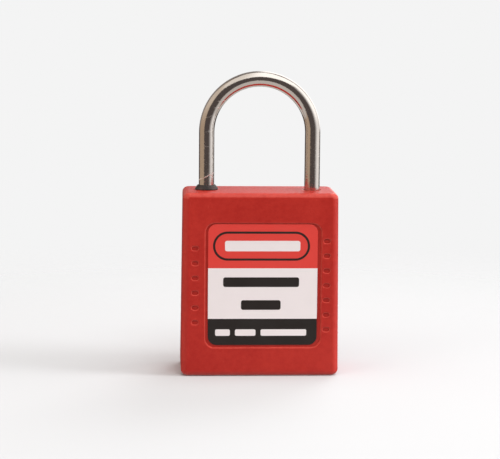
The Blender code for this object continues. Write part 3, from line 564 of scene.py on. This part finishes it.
def case_hollows():
    """The core, the cap's pocket and the bores, as the parts inside need them."""
    core = rounded_rectangle(
        CORE_HIGH.x - CORE_LOW.x + 2 * SLIDE_GAP, CORE_HIGH.y - CORE_LOW.y + 2 * SLIDE_GAP, 0.8 * MM, arc_steps=4
    )
    yield prism(core, CAP_THICKNESS - PAST, CORE_HIGH.z + BORE_GAP)
    cap_half_width = CAP_HIGH.x + FIT_GAP
    cap_half_depth = CAP_HIGH.y + FIT_GAP
    pocket = rounded_rectangle(2 * cap_half_width, 2 * cap_half_depth, 0.8 * MM, arc_steps=4)
    yield prism(pocket, -PAST, CAP_THICKNESS + FIT_GAP)
    tongue_half_depth, tongue_foot, tongue_head = 2.8 * MM, 1.2 * MM, 2.7 * MM
    groove = rectangle((CAP_LOW.x - BORE_GAP, -cap_half_width + PAST), (-tongue_half_depth, tongue_half_depth))
    yield prism(groove, tongue_foot, tongue_head)
    leg_room = BAR_RADIUS + BORE_GAP
    spring_room, spring_top = 3.2 * MM, 25.5 * MM
    seal_room, seal_seat = 2.9 * MM, CASE_HEIGHT - 1.2 * MM
    yield leg_bore(-LEG_X, [(spring_room, spring_top), (leg_room, seal_seat)], seal_room, 0.1 * MM)
    insert_room, insert_top = 3.1 * MM, 8.3 * MM
    screw_room, toe_floor = 1.3 * MM, 35.6 * MM
    yield leg_bore(LEG_X, [(insert_room, insert_top), (screw_room, toe_floor)], leg_room, 0.25 * MM)
    core_side, nose_half_depth = 8.8 * MM, 1.6 * MM
    for side in (-1, 1):
        bore_side = BOLT_HIGH.x + BORE_GAP
        window = rectangle((side * core_side, side * bore_side), (-nose_half_depth, nose_half_depth))
        yield prism(window, BOLT_LOW.z - BORE_GAP, BOLT_HIGH.z + BORE_GAP)


def paint_edge_wear_and_highlight(mesh):
    """Notes how much each rounded edge is painted paler, partly as handling wear and partly as a painted
    highlight: the top most, then the rims of the recess and the dashes, and the corners and the foot least. Tight
    edges get more than broad ones."""
    flat, rub_and_highlight_width = 0.985, 0.07 * MM
    wear = mesh.attributes.new("edge_wear_and_highlight", "FLOAT", "CORNER")
    for face in mesh.polygons:
        if max(abs(c) for c in face.normal) > flat:
            continue
        corners = [mesh.vertices[i].co for i in face.vertices]
        shortest = min((a - b).length for a, b in zip(corners, corners[1:] + corners[:1]))
        centre = face.center
        # The top edge is painted palest: mostly a painted highlight where the light falls, with some wear.
        if centre.z > CASE_HEIGHT - CASE_TOP_EDGE:
            handled, most = 2.0, 0.8
        elif abs(centre.x) > CASE_WIDTH_TOP / 2 - CASE_CORNER or centre.z < CASE_FOOT_EDGE:
            handled, most = 0.1, 0.1
        else:
            handled, most = 1.0, 0.4
        for i in face.loop_indices:
            wear.data[i].value = min(most, handled * rub_and_highlight_width / max(shortest, 0.01 * MM))


def build_case(abs_plastic):
    """The moulded case, in one piece with everything cut from it."""
    case = add_piece("case_shell", case_block(), [abs_plastic])
    carve(case, [recess_cutter(-1), recess_cutter(1), *side_dashes(), *case_hollows()])
    paint_edge_wear_and_highlight(case.data)
    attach(case, "case")
    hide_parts("body_case")


# ---- label ---------------------------------------------------------------------------------------
RED_BAND_FOOT = 20.0 * MM
BLACK_BAND_HEAD = 6.85 * MM
INK_THICKNESS = 0.02 * MM

# Bars of print, as ((left, right), (foot, head), corner) in millimetres from the label's lower left corner.
PALE_BARS = (
    ((4.3, 23.6), (24.4, 27.1), 0.55),
    ((1.9, 5.7), (2.4, 4.1), 0.4),
    ((7.0, 12.3), (2.4, 4.1), 0.4),
    ((13.6, 25.4), (2.4, 4.1), 0.4),
)
DARK_BARS = (
    ((3.9, 23.4), (15.15, 17.65), 0.55),
    ((8.5, 18.7), (9.2, 11.7), 0.55),
)
BORDER = ((1.25, 26.1), (22.0, 29.5))
BORDER_STROKE = 0.55


def print_field(x_ends, z_ends):
    """The width, height and centre of a patch of print."""
    (left, right), (foot, head) = ([end * MM for end in ends] for ends in (x_ends, z_ends))
    centre = (LABEL_LOW.x + (left + right) / 2, LABEL_LOW.z + (foot + head) / 2)
    return right - left, head - foot, centre


def print_bar(x_ends, z_ends, corner):
    """A thin bar of ink on the label."""
    width, height, centre = print_field(x_ends, z_ends)
    outline = rounded_rectangle(width, height, corner * MM, centre, 6)
    back, front = LABEL_LOW.y + INK_THICKNESS / 2, LABEL_LOW.y - INK_THICKNESS
    return loft([[(x, y, z) for x, z in outline] for y in (back, front)])


def gather(meshes):
    """Several separate meshes as one."""
    together = bmesh.new()
    for bm in meshes:
        part = bpy.data.meshes.new("part")
        bm.to_mesh(part)
        bm.free()
        together.from_mesh(part)
        bpy.data.meshes.remove(part)
    return together


def border_line(x_ends, z_ends, stroke):
    """A thin line of ink round a field with half-round ends."""
    width, height, centre = print_field(x_ends, z_ends)
    outer = rounded_rectangle(width, height, height / 2 - 0.01 * MM, centre, 16)
    inner = rounded_rectangle(width - 2 * stroke, height - 2 * stroke, height / 2 - stroke - 0.01 * MM, centre, 16)
    bm = bmesh.new()
    back, front = LABEL_LOW.y + INK_THICKNESS / 2, LABEL_LOW.y - INK_THICKNESS
    rings = [
        [bm.verts.new((x, y, z)) for x, z in outline]
        for outline, y in ((outer, back), (outer, front), (inner, front), (inner, back))
    ]
    for ring, following in zip(rings, rings[1:] + rings[:1]):
        for i in range(len(ring)):
            j = (i + 1) % len(ring)
            bm.faces.new((ring[i], ring[j], following[j], following[i]))
    bmesh.ops.recalc_face_normals(bm, faces=bm.faces)
    return bm


def label_outline():
    size = LABEL_HIGH - LABEL_LOW
    centre = ((LABEL_LOW.x + LABEL_HIGH.x) / 2, (LABEL_LOW.z + LABEL_HIGH.z) / 2)
    return rounded_rectangle(size.x, size.z, LABEL_CORNER, centre, 12)


def build_label():
    """A vinyl label in three bands, with plain bars where such a label has its words."""
    # Opaque inks with a slight gloss: a warm signal red, an off-white and a brownish black.
    red = make_printed_vinyl("vinyl_print_red", "#DA3F37")
    white = make_printed_vinyl("vinyl_print_white", "#E9E1E2")
    black = make_printed_vinyl("vinyl_print_black", "#241F1D")
    edge = 0.04 * MM
    x_centre, z_centre = (LABEL_LOW.x + LABEL_HIGH.x) / 2, (LABEL_LOW.z + LABEL_HIGH.z) / 2
    rings = []
    for y, inset in ((LABEL_HIGH.y, 0.0), (LABEL_LOW.y + edge, 0.0), (LABEL_LOW.y, edge)):
        rings.append([
            (x - math.copysign(inset, x - x_centre), y, z - math.copysign(inset, z - z_centre))
            for x, z in label_outline()
        ])
    sheet = loft(rings)
    limits = (LABEL_LOW.z + BLACK_BAND_HEAD, LABEL_LOW.z + RED_BAND_FOOT)
    for limit in limits:
        geometry = sheet.verts[:] + sheet.edges[:] + sheet.faces[:]
        bmesh.ops.bisect_plane(sheet, geom=geometry, plane_co=(0, 0, limit), plane_no=(0, 0, 1))
    for face in sheet.faces:
        face.material_index = sum(face.calc_center_median().z > limit for limit in limits)
    label = add_piece("label_sheet", sheet, [black, white, red])
    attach(label, "case")
    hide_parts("label")

    pale = [print_bar(*bar) for bar in PALE_BARS]
    dark = [border_line(*BORDER, BORDER_STROKE * MM), *(print_bar(*bar) for bar in DARK_BARS)]
    for name, patches, ink in (("print_pale", pale, white), ("print_dark", dark, black)):
        printed = add_piece(name, gather(patches), [ink], shade=False)
        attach(printed, "case")


# ---- seal, shackle and spring --------------------------------------------------------------------
def build_seal(rubber):
    """The moulded rubber collar. Its lip closes on the leg and its skirt lies on the case."""
    low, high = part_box("shackle_seal")
    skirt_radius = (high.x - low.x) / 2
    bar = BAR_RADIUS + 0.06 * MM
    skirt_foot = CASE_HEIGHT + 0.03 * MM
    profile = [
        (bar, low.z), (2.7 * MM, low.z), (2.7 * MM, skirt_foot), (skirt_radius - 0.1 * MM, skirt_foot),
        (skirt_radius, skirt_foot + 0.08 * MM), (skirt_radius, skirt_foot + 0.22 * MM),
        (skirt_radius - 0.05 * MM, skirt_foot + 0.34 * MM), (skirt_radius - 0.2 * MM, skirt_foot + 0.55 * MM),
        (BAR_RADIUS + 0.5 * MM, high.z - 0.22 * MM), (BAR_RADIUS + 0.36 * MM, high.z - 0.07 * MM),
        (BAR_RADIUS + 0.22 * MM, high.z), (bar, high.z - 0.03 * MM),
    ]
    seal = add_piece("rubber_collar", turned(profile, 96, (-LEG_X, 0.0)), [rubber])
    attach(seal, "case")
    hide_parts("shackle_seal")


def swept(stations, steps):
    """A round bar in the XZ plane. Each station is (x, z, heading angle from +X, radius)."""
    rings = []
    for x, z, heading, radius in stations:
        across = Vector((-math.sin(heading), 0.0, math.cos(heading)))
        sides = [2 * math.pi * i / steps for i in range(steps)]
        rings.append([
            Vector((x, 0.0, z)) + radius * (across * math.cos(a) + Vector((0.0, math.sin(a), 0.0))) for a in sides
        ])
    return loft(rings)


def shackle_stations(bow_steps=120):
    """From the heel's chamfered end and its clip groove, up and over the bow, to the toe's rounded end."""
    up, down = math.pi / 2, -math.pi / 2
    clip, groove = HEEL_END + 1.0 * MM, 0.9 * MM
    tip, neck = BAR_RADIUS * 0.9, BAR_RADIUS * 0.75
    heel = [(0.0, tip * 0.8), (0.12 * MM, tip * 0.92), (0.3 * MM, tip)]
    stations = [(-LEG_X, HEEL_END + rise, up, radius) for rise, radius in heel]
    stations += [(-LEG_X, clip, up, tip), (-LEG_X, clip + 0.01 * MM, up, neck)]
    stations += [(-LEG_X, clip + groove, up, neck), (-LEG_X, clip + groove + 0.01 * MM, up, BAR_RADIUS)]
    for i in range(bow_steps + 1):
        angle = math.pi - i / bow_steps * math.pi
        x, z = LEG_X * math.cos(angle), BOW_CENTRE + LEG_X * math.sin(angle)
        stations.append((x, z, angle - math.pi / 2, BAR_RADIUS))
    toe_round = 0.7 * MM
    for inset, from_end in quarter_round(toe_round):
        stations.append((LEG_X, TOE_END + from_end, down, BAR_RADIUS - inset))
    return stations


def notch_cutter(side):
    """The scooped notch that a bolt's nose locks in."""
    face = LEG_X - BAR_RADIUS
    deep = BOLT_HIGH.x + BORE_GAP
    points = [
        (face - PAST, BOLT_HIGH.z + 0.6 * MM), (face - PAST, NOTCH_START), (face, NOTCH_START),
        (deep, BOLT_LOW.z - BORE_GAP), (deep, BOLT_HIGH.z + BORE_GAP), (face, BOLT_HIGH.z + 0.6 * MM),
    ]
    half = BAR_RADIUS + PAST
    return loft([[(side * x, y, z) for x, z in points] for y in (-half, half)])


def build_shackle(steel):
    shackle = add_piece("shackle_bar", swept(shackle_stations(), 72), [steel])
    carve(shackle, [notch_cutter(1), notch_cutter(-1)])
    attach(shackle, "shackle")
    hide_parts("shackle")


def coil(low, high, turns, turn_steps=24, wire_steps=10):
    """A compression spring about the heel leg, with closed end turns."""
    wire = 0.3 * MM
    radius = (high.x - low.x) / 2 - wire
    end_rise = 2.3 * wire
    free = high.z - low.z - 2 * wire - 2 * end_rise
    rings = []
    for i in range(turns * turn_steps + 1):
        turn = i / turn_steps
        middle = min(max((turn - 1) / (turns - 2), 0.0), 1.0)
        ends = min(turn, 1.0) + max(turn - (turns - 1), 0.0)
        z = low.z + wire + end_rise * ends + free * middle
        angle = 2 * math.pi * turn
        out = Vector((math.cos(angle), math.sin(angle), 0.0))
        centre = Vector((-LEG_X, 0.0, z)) + radius * out
        sides = [2 * math.pi * k / wire_steps for k in range(wire_steps)]
        rings.append([centre + wire * (math.cos(a) * out + Vector((0, 0, math.sin(a)))) for a in sides])
    return loft(rings)


def build_spring(wire_steel):
    """The shackle's lift spring. It stretches between the cap's seat and the heel leg."""
    low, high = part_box("shackle_spring")
    spring = add_piece("lift_spring", coil(low, high, 8), [wire_steel])
    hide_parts("shackle_spring")
    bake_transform(spring)


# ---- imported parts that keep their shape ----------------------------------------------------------
def dress(names, material):
    """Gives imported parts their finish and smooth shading."""
    for name in names:
        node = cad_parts[name]
        node.data.materials.clear()
        node.data.materials.append(material)
        node.data.shade_smooth()
        node.data.set_sharp_from_angle(angle=SHARP_ANGLE)


def dress_packed_parts(abs_plastic, wire_steel):
    plug_low, plug_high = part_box("plug")
    plug_centre = ((plug_low.x + plug_high.x) / 2, (plug_low.y + plug_high.y) / 2, 0.0)
    # Yellow, with fine rings round the plug from the lathe.
    brass = make_metal("turned_brass", "#E3C27A", "#A9853F", 0.30, 0.25, (1.0, 0.06, 1.0), plug_centre)
    # A cool grey with fine grinding lines lengthwise.
    steel = make_metal("ground_steel", "#C6C6C8", "#8E8E92", 0.30, 0.22, (0.08, 1.0, 1.0))
    # A duller grey with an even mottle from casting.
    zinc = make_metal("die_cast_zinc", "#BDBDC0", "#8C8C90", 0.42, 0.5, (1.0, 1.0, 1.0))
    # Charcoal, with paler flecks where the glass fibres come to the skin.
    nylon = make_dark_polymer("glass_filled_nylon", "#34312F", "#1E1C1B", 0.52, 0.4)
    dress(["bottom_cap"], abs_plastic)
    dress(["plug", "cap_insert", *[f"key_pin_{i}" for i in range(1, 7)]], brass)
    driver_pins = [f"driver_pin_{i}" for i in range(1, 7)]
    dress(["cap_screw", "crank_spindle", "toe_bolt", "heel_bolt", *driver_pins], steel)
    dress(["cylinder_housing", "chamber_cover"], zinc)
    dress(["cylinder_sleeve", "mechanism_carrier"], nylon)
    dress(["heel_clip", "plug_clip", *[f"pin_spring_{i}" for i in range(1, 7)]], wire_steel)


# ---- stage, light and camera ---------------------------------------------------------------------
BACKDROP = "#F4F4F4"
LIGHT_AIM_HEIGHT = 35.0 * MM
FLOOR_RADIUS = 0.26
FLOOR_FADE_START, FLOOR_FADE_END = 0.07, 0.24
ROOM_BRIGHTNESS = 0.87
CAMERA_PLACE = (-24.86 * MM, -410.3 * MM, 92.3 * MM)
CAMERA_TURN, CAMERA_TILT, CAMERA_ROLL = math.radians(3.145), math.radians(7.668), math.radians(0.512)


def build_floor():
    """A plain pale floor of matt paper. It takes a soft shadow and fades into the backdrop further out."""
    material = bpy.data.materials.new("pale_floor")
    material.use_nodes = True
    tree = material.node_tree
    tree.nodes.clear()
    place = add_node(tree, "ShaderNodeTexCoord").outputs["Object"]
    away = add_node(tree, "ShaderNodeVectorMath", {"operation": "LENGTH"}, {0: place})
    fade = add_node(tree, "ShaderNodeMapRange", {"interpolation_type": "SMOOTHSTEP"}, {
        "Value": away.outputs["Value"], "From Min": FLOOR_FADE_START, "From Max": FLOOR_FADE_END,
    })
    paper = add_node(tree, "ShaderNodeBsdfDiffuse", {}, {"Color": linear("#CACCCF")})
    clear = add_node(tree, "ShaderNodeBsdfTransparent")
    mixed = add_node(tree, "ShaderNodeMixShader", {}, {
        0: fade.outputs[0], 1: paper.outputs[0], 2: clear.outputs[0],
    })
    output = add_node(tree, "ShaderNodeOutputMaterial")
    tree.links.new(mixed.outputs[0], output.inputs["Surface"])
    bm = bmesh.new()
    bmesh.ops.create_circle(bm, cap_ends=True, segments=64, radius=FLOOR_RADIUS)
    floor = add_piece("floor", bm, [material], shade=False)
    floor.location.z = -0.02 * MM
    floor.visible_glossy = False


def azimuth_window(tree, azimuth, start, end, soft_start, soft_end):
    """1 between two compass angles in degrees, from the front round to +X, and 0 outside."""
    rise = add_node(tree, "ShaderNodeMapRange", {"interpolation_type": "SMOOTHSTEP"}, {
        "Value": azimuth,
        "From Min": math.radians(start - soft_start), "From Max": math.radians(start + soft_start),
    })
    fall = add_node(tree, "ShaderNodeMapRange", {"interpolation_type": "SMOOTHSTEP"}, {
        "Value": azimuth,
        "From Min": math.radians(end - soft_end), "From Max": math.radians(end + soft_end),
        "To Min": 1.0, "To Max": 0.0,
    })
    both = add_node(tree, "ShaderNodeMath", {"operation": "MULTIPLY"}, {0: rise.outputs[0], 1: fall.outputs[0]})
    return both.outputs[0]


def build_studio():
    """The room round the padlock: dim in front, a warm wall on the left that pales as it rises, a tall
    window on the right, a pale wall high behind, a softbox overhead and a light floor below."""
    world = bpy.data.worlds.new("studio")
    bpy.context.scene.world = world
    world.use_nodes = True
    tree = world.node_tree
    tree.nodes.clear()
    direction = add_node(tree, "ShaderNodeTexCoord").outputs["Generated"]
    axes = add_node(tree, "ShaderNodeSeparateXYZ", {}, {0: direction})
    forward = add_node(tree, "ShaderNodeMath", {"operation": "MULTIPLY"}, {0: axes.outputs["Y"], 1: -1.0})
    azimuth = add_node(tree, "ShaderNodeMath", {"operation": "ARCTAN2"}, {
        0: axes.outputs["X"], 1: forward.outputs[0],
    }).outputs[0]

    overhead = add_node(tree, "ShaderNodeVectorMath", {"operation": "DOT_PRODUCT"}, {
        0: direction, 1: (0.0, -math.cos(math.radians(70)), math.sin(math.radians(70))),
    })
    spans = {
        "wall_rise": (axes.outputs["Z"], 0.0, 0.55),
        "window_rise": (axes.outputs["Z"], 0.02, 0.35),
        "right_behind": (axes.outputs["X"], -0.01, 0.14),
        "right_above": (axes.outputs["X"], -0.25, 0.12),
        "behind": (axes.outputs["Y"], 0.35, 0.6),
        "above_level": (axes.outputs["Z"], -0.10, 0.02),
        "softbox": (overhead.outputs["Value"], math.cos(math.radians(41)), math.cos(math.radians(35))),
        "below": (axes.outputs["Z"], -0.34, -0.42),
    }
    share = {
        name: add_node(tree, "ShaderNodeMapRange", {"interpolation_type": "SMOOTHSTEP"}, {
            "Value": socket, "From Min": start, "From Max": end,
        }).outputs[0]
        for name, (socket, start, end) in spans.items()
    }
    high_behind = add_node(tree, "ShaderNodeMath", {"operation": "MULTIPLY"}, {
        0: share["behind"], 1: share["above_level"],
    }).outputs[0]
    left_wall, window, back_wall, ceiling = (
        add_node(tree, "ShaderNodeMix", {"data_type": "RGBA"}, {0: mask, 6: near, 7: far}).outputs[2]
        for mask, near, far in (
            (share["wall_rise"], (0.66, 0.50, 0.36, 1), (1.0, 0.86, 0.72, 1)),
            (share["window_rise"], (1.40, 1.37, 1.35, 1), (2.1, 2.07, 2.03, 1)),
            (share["right_behind"], (0.42, 0.38, 0.36, 1), (2.0, 1.97, 1.95, 1)),
            (share["right_above"], (1.30, 1.22, 1.12, 1), (2.1, 2.06, 2.0, 1)),
        )
    )
    room = (0.13, 0.106, 0.100, 1)
    for mask, colour in (
        (azimuth_window(tree, azimuth, -120, -40, 4, 5), left_wall),
        (azimuth_window(tree, azimuth, 50, 113, 26, 5), window),
        (high_behind, back_wall),
        (share["softbox"], ceiling),
        (share["below"], (0.86, 0.81, 0.76, 1)),
    ):
        room = add_node(tree, "ShaderNodeMix", {"data_type": "RGBA"}, {0: mask, 6: room, 7: colour}).outputs[2]

    surround = add_node(tree, "ShaderNodeBackground", {}, {"Color": room, "Strength": ROOM_BRIGHTNESS})
    seen = add_node(tree, "ShaderNodeBackground", {}, {"Color": linear(BACKDROP)})
    path = add_node(tree, "ShaderNodeLightPath")
    final = add_node(tree, "ShaderNodeMixShader", {}, {
        0: path.outputs["Is Camera Ray"], 1: surround.outputs[0], 2: seen.outputs[0],
    })
    output = add_node(tree, "ShaderNodeOutputWorld")
    tree.links.new(final.outputs[0], output.inputs["Surface"])


def add_softbox(name, location, size, watts):
    """A round softbox aimed at the padlock. Polished steel shows the room instead of it."""
    light = bpy.data.lights.new(name, "AREA")
    light.shape = "DISK"
    light.size = size
    light.energy = watts
    lamp = bpy.data.objects.new(name, light)
    lamp.location = location
    aim = Vector((0.0, 0.0, LIGHT_AIM_HEIGHT)) - lamp.location
    lamp.rotation_euler = aim.to_track_quat("-Z", "Y").to_euler()
    lamp.visible_glossy = False
    bpy.context.scene.collection.objects.link(lamp)


def build_lights():
    for name, location, size, watts in (
        ("key_softbox", (0.12, -0.46, 0.62), 0.40, 1.12),
        ("side_softbox", (0.62, -0.14, 0.34), 0.25, 2.5),
        ("fill_softbox", (-0.55, -0.40, 0.25), 0.50, 0.9),
        ("back_softbox", (0.25, 0.50, 0.55), 0.35, 1.1),
    ):
        add_softbox(name, Vector(location), size, watts)


def build_camera():
    """A little above the bow and left of the padlock, looking slightly down."""
    camera_data = bpy.data.cameras.new("camera")
    camera_data.sensor_width = 36.0
    camera_data.lens = 114.3
    camera_data.clip_start = 0.01
    camera = bpy.data.objects.new("camera", camera_data)
    turned_right = Matrix.Rotation(-CAMERA_TURN, 4, "Z")
    tilted_down = Matrix.Rotation(math.pi / 2 - CAMERA_TILT, 4, "X")
    rolled = Matrix.Rotation(CAMERA_ROLL, 4, "Z")
    camera.matrix_world = Matrix.Translation(CAMERA_PLACE) @ turned_right @ tilted_down @ rolled
    bpy.context.scene.collection.objects.link(camera)
    bpy.context.scene.camera = camera


def main():
    abs_plastic = make_moulded_abs()
    # Bright grey, faintly mottled by drawing and heat treatment.
    wire_steel = make_metal("drawn_spring_wire", "#B9B9BC", "#7F7F84", 0.28, 0.3, (1.0, 1.0, 1.0))
    build_case(abs_plastic)
    build_label()
    # Soft, matt and slightly dusty.
    rubber = make_dark_polymer("moulded_rubber", "#4A403E", "#252120", 0.62, 0.35)
    build_seal(rubber)
    build_shackle(make_polished_steel())
    build_spring(wire_steel)
    dress_packed_parts(abs_plastic, wire_steel)
    build_floor()
    build_studio()
    build_lights()
    build_camera()
    bpy.context.scene.view_settings.view_transform = "Standard"


main()
